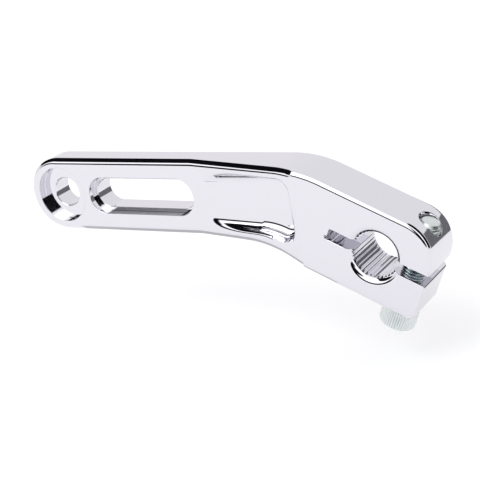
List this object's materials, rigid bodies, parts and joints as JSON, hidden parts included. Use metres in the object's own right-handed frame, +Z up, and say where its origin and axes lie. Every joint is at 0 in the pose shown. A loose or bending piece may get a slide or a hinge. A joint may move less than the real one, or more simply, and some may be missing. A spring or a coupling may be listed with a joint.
{
  "type": "foot lever arm with pinch bolt",
  "caption": "Chromed billet lever arm with a counterbored hole, a stepped slot, a pocketed ramp and a split serrated clamp closed by a socket-head pinch bolt.",
  "frame": {"origin": "on the axis of the serrated bore, halfway through the clamp's thickness", "axes": "+X along the level blade towards the clamp, +Y along the bore from the front face to the back face, +Z up"},
  "size_m": [0.1592, 0.0198, 0.057],
  "materials": {
    "chrome_plate": "mirror-polished chrome plate on billet aluminium",
    "zinc_plate": "clear zinc plate on steel, slightly blue-green"
  },
  "bodies": {
    "arm": {"lever_arm": "chrome_plate"},
    "washer": {"lock_washer": "zinc_plate"},
    "bolt": {"pinch_bolt": "zinc_plate"}
  },
  "joints": [
    {"name": "bolt_travel", "type": "slide", "parent": "arm", "child": "washer", "axis": [-0.4226, 0, -0.9063], "range_m": [0, 0.01165]},
    {"name": "bolt_turn", "type": "hinge", "parent": "washer", "child": "bolt", "pos_m": [0.01033, 0, -0.00482], "axis": [-0.4226, 0, -0.9063], "range_deg": [0, 3960]}
  ],
  "couplings": [
    {"joint": "bolt_travel", "follows": "bolt_turn", "m_per_rad": 0.00016844}
  ]
}
